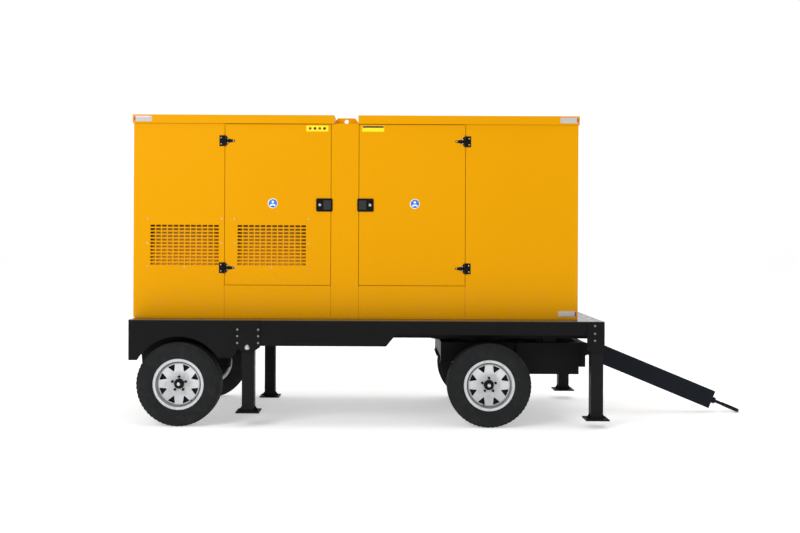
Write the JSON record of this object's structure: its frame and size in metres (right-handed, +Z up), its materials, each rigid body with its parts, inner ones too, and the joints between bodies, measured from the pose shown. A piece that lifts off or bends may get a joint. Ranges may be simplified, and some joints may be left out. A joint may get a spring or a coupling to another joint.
{
  "type": "towable diesel generator",
  "caption": "Sheet-metal sound canopy with hinged doors and air slots over an engine set, on a four-wheel trailer with turntable bogie, drawbar and stabiliser legs.",
  "frame": {"origin": "on the ground under the middle of the set's bounding box", "axes": "+X towards the tow eye, +Y to the left-hand side when facing the tow eye, +Z up"},
  "size_m": [5.2936, 1.832, 2.57],
  "materials": {
    "canopy_yellow": "satin powder coat",
    "chassis_black": "semi-gloss paint",
    "deck_black": "semi-gloss paint",
    "leg_black": "semi-gloss paint",
    "drawbar_black": "gloss paint",
    "spring_black": "matt paint",
    "zinc_bolt": "zinc plated",
    "tyre_rubber": "moulded rubber",
    "rim_silver": "silver paint",
    "hub_cast": "black painted casting",
    "fitting_black": "black powder coat",
    "paddle_black": "moulded",
    "tank_black": "paint",
    "alternator_grey": "paint",
    "engine_grey": "engine enamel",
    "radiator_core": "fins and tanks",
    "silencer_steel": "aluminised steel",
    "battery_case": "moulded",
    "panel_grey": "powder coat",
    "fan_plastic": "moulded"
  },
  "bodies": {
    "chassis": {"deck_plate": "deck_black", "side_beam_right": "chassis_black", "side_beam_left": "chassis_black", "chassis_frame": "chassis_black", "leg_brackets": "chassis_black", "bracket_bolts": "zinc_bolt", "rear_axle": "chassis_black", "rear_springs": "spring_black", "turntable_upper": "chassis_black", "side_panels_right": "canopy_yellow", "side_panels_left": "canopy_yellow", "end_panels": "canopy_yellow", "canopy_frame": "canopy_yellow", "roof_rear": "canopy_yellow", "roof_front": "canopy_yellow", "lifting_beam": "canopy_yellow", "hinge_leaves": "fitting_black", "fuel_tank": "tank_black", "alternator": "alternator_grey", "engine": "engine_grey", "radiator": "radiator_core", "silencer": "silencer_steel", "battery": "battery_case", "control_panel": "panel_grey"},
    "bogie": {"turntable_lower": "chassis_black", "bogie_frame": "chassis_black", "front_axle": "chassis_black", "front_springs": "spring_black", "drawbar_pin": "zinc_bolt"},
    "drawbar": {"drawbar": "drawbar_black", "tow_eye": "drawbar_black"},
    "fan": {"cooling_fan": "fan_plastic"},
    "wheel_rear_right": {"tyre_rear_right": "tyre_rubber", "rim_rear_right": "rim_silver", "hub_rear_right": "hub_cast"},
    "wheel_rear_left": {"tyre_rear_left": "tyre_rubber", "rim_rear_left": "rim_silver", "hub_rear_left": "hub_cast"},
    "wheel_front_right": {"tyre_front_right": "tyre_rubber", "rim_front_right": "rim_silver", "hub_front_right": "hub_cast"},
    "wheel_front_left": {"tyre_front_left": "tyre_rubber", "rim_front_left": "rim_silver", "hub_front_left": "hub_cast"},
    "leg_rear_right": {"leg_rear_right": "leg_black"},
    "leg_rear_left": {"leg_rear_left": "leg_black"},
    "leg_front_right": {"leg_front_right": "leg_black"},
    "leg_front_left": {"leg_front_left": "leg_black"},
    "door_rear_right": {"door_rear_right": "canopy_yellow", "door_fittings_rear_right": "fitting_black"},
    "paddle_rear_right": {"door_paddle_rear_right": "paddle_black"},
    "door_rear_left": {"door_rear_left": "canopy_yellow", "door_fittings_rear_left": "fitting_black"},
    "paddle_rear_left": {"door_paddle_rear_left": "paddle_black"},
    "door_front_right": {"door_front_right": "canopy_yellow", "door_fittings_front_right": "fitting_black"},
    "paddle_front_right": {"door_paddle_front_right": "paddle_black"},
    "door_front_left": {"door_front_left": "canopy_yellow", "door_fittings_front_left": "fitting_black"},
    "paddle_front_left": {"door_paddle_front_left": "paddle_black"}
  },
  "joints": [
    {"name": "steer", "type": "hinge", "parent": "chassis", "child": "bogie", "pos_m": [0.32421, 0, 0.665], "axis": [0, 0, 1], "range_deg": [-30, 30]},
    {"name": "drawbar_lift", "type": "hinge", "parent": "bogie", "child": "drawbar", "pos_m": [1.29821, 0, 0.563], "axis": [0, -1, 0], "range_deg": [0, 52.3]},
    {"name": "wheel_rear_right_spin", "type": "hinge", "parent": "chassis", "child": "wheel_rear_right", "pos_m": [-2.21279, -0.8, 0.344], "axis": [0, 1, 0], "continuous": true},
    {"name": "wheel_rear_left_spin", "type": "hinge", "parent": "chassis", "child": "wheel_rear_left", "pos_m": [-2.21279, 0.8, 0.344], "axis": [0, 1, 0], "continuous": true},
    {"name": "wheel_front_right_spin", "type": "hinge", "parent": "bogie", "child": "wheel_front_right", "pos_m": [0.32421, -0.8, 0.344], "axis": [0, 1, 0], "continuous": true},
    {"name": "wheel_front_left_spin", "type": "hinge", "parent": "bogie", "child": "wheel_front_left", "pos_m": [0.32421, 0.8, 0.344], "axis": [0, 1, 0], "continuous": true},
    {"name": "leg_rear_right_slide", "type": "slide", "parent": "chassis", "child": "leg_rear_right", "axis": [0, 0, 1], "range_m": [-0.115, 0]},
    {"name": "leg_rear_left_slide", "type": "slide", "parent": "chassis", "child": "leg_rear_left", "axis": [0, 0, 1], "range_m": [0, 0.115]},
    {"name": "leg_front_right_slide", "type": "slide", "parent": "chassis", "child": "leg_front_right", "axis": [0, 0, 1], "range_m": [-0.064, 0.051]},
    {"name": "leg_front_left_slide", "type": "slide", "parent": "chassis", "child": "leg_front_left", "axis": [0, 0, 1], "range_m": [-0.078, 0.037]},
    {"name": "door_rear_right_hinge", "type": "hinge", "parent": "chassis", "child": "door_rear_right", "pos_m": [-1.87579, -0.654, 1.8205], "axis": [0, 0, -1], "range_deg": [0, 110]},
    {"name": "paddle_rear_right_lift", "type": "hinge", "parent": "door_rear_right", "child": "paddle_rear_right", "pos_m": [-1.01729, -0.6495, 1.8565], "axis": [-1, 0, 0], "range_deg": [0, 40], "stiffness_Nm_per_rad": 0.6},
    {"name": "door_rear_left_hinge", "type": "hinge", "parent": "chassis", "child": "door_rear_left", "pos_m": [-1.87579, 0.654, 1.8205], "axis": [0, 0, 1], "range_deg": [0, 110]},
    {"name": "paddle_rear_left_lift", "type": "hinge", "parent": "door_rear_left", "child": "paddle_rear_left", "pos_m": [-1.01729, 0.6495, 1.8565], "axis": [1, 0, 0], "range_deg": [0, 40], "stiffness_Nm_per_rad": 0.6},
    {"name": "door_front_right_hinge", "type": "hinge", "parent": "chassis", "child": "door_front_right", "pos_m": [0.13921, -0.654, 1.8205], "axis": [0, 0, 1], "range_deg": [0, 110]},
    {"name": "paddle_front_right_lift", "type": "hinge", "parent": "door_front_right", "child": "paddle_front_right", "pos_m": [-0.72129, -0.6495, 1.8565], "axis": [-1, 0, 0], "range_deg": [0, 40], "stiffness_Nm_per_rad": 0.6},
    {"name": "door_front_left_hinge", "type": "hinge", "parent": "chassis", "child": "door_front_left", "pos_m": [0.13921, 0.654, 1.8205], "axis": [0, 0, -1], "range_deg": [0, 110]},
    {"name": "paddle_front_left_lift", "type": "hinge", "parent": "door_front_left", "child": "paddle_front_left", "pos_m": [-0.72129, 0.6495, 1.8565], "axis": [1, 0, 0], "range_deg": [0, 40], "stiffness_Nm_per_rad": 0.6},
    {"name": "fan_spin", "type": "hinge", "parent": "chassis", "child": "fan", "pos_m": [-0.05979, 0, 1.56], "axis": [1, 0, 0], "continuous": true}
  ]
}
